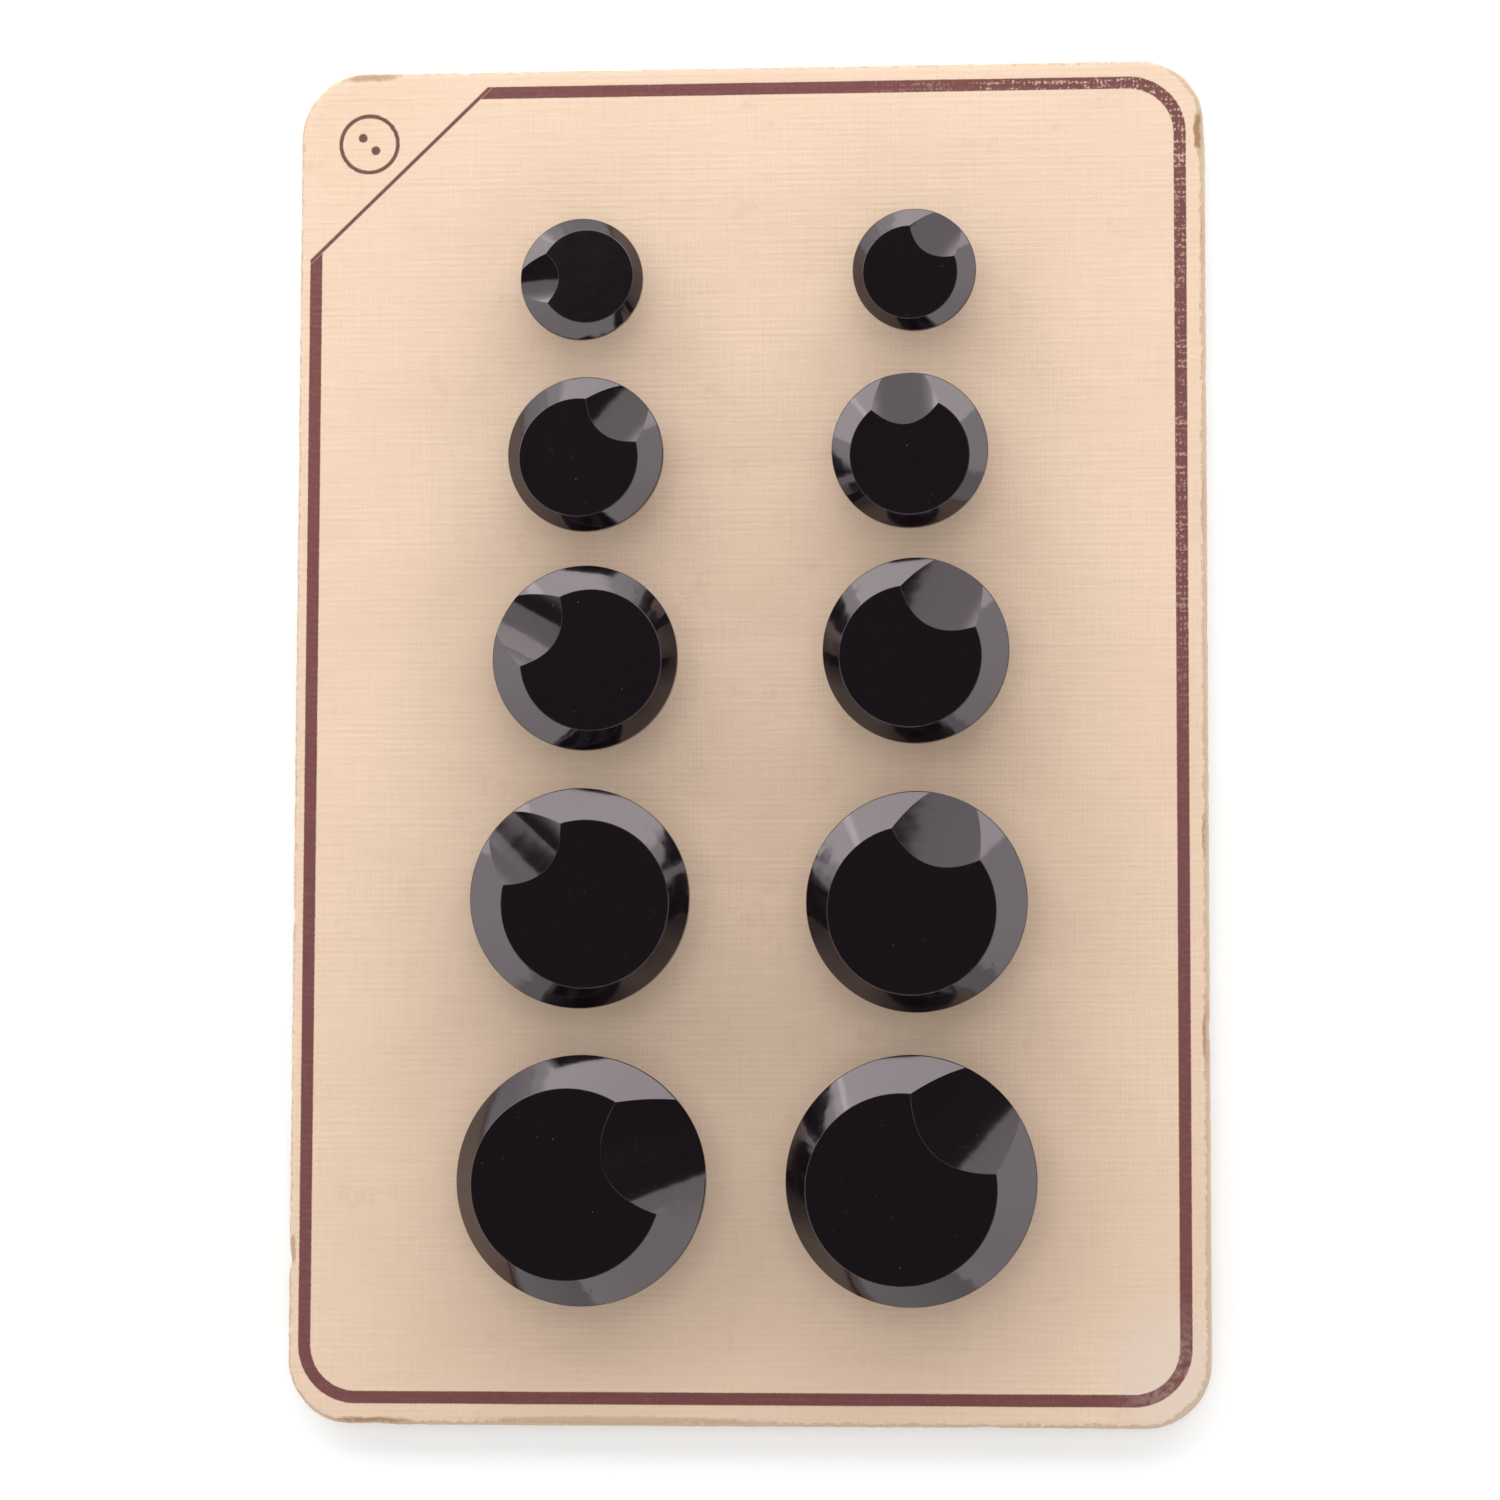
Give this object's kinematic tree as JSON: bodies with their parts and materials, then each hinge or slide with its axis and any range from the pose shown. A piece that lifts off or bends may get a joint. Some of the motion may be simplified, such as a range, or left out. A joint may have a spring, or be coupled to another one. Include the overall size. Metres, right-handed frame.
{
  "type": "card of buttons",
  "caption": "Flat pasteboard sample card with rounded corners and a printed border, carrying graded glossy shank buttons sewn on side by side.",
  "frame": {"origin": "under the middle of the card, on the plane that the knots at its back rest on", "axes": "+Y towards the card's top edge, where the smallest buttons are; +X towards its right edge; +Z out of its printed face"},
  "size_m": [0.104, 0.155, 0.0121],
  "materials": {
    "pasteboard": "matt cream pasteboard with a linen emboss",
    "button_black": "polished black moulded plastic",
    "sewing_thread": "twisted black cotton"
  },
  "bodies": {
    "root": {"card": "pasteboard", "button_size_1_left": "button_black", "thread_size_1_left": "sewing_thread", "button_size_1_right": "button_black", "thread_size_1_right": "sewing_thread", "button_size_2_left": "button_black", "thread_size_2_left": "sewing_thread", "button_size_2_right": "button_black", "thread_size_2_right": "sewing_thread", "button_size_3_left": "button_black", "thread_size_3_left": "sewing_thread", "button_size_3_right": "button_black", "thread_size_3_right": "sewing_thread", "button_size_4_left": "button_black", "thread_size_4_left": "sewing_thread", "button_size_4_right": "button_black", "thread_size_4_right": "sewing_thread", "button_size_5_left": "button_black", "thread_size_5_left": "sewing_thread", "button_size_5_right": "button_black", "thread_size_5_right": "sewing_thread"}
  },
  "joints": []
}
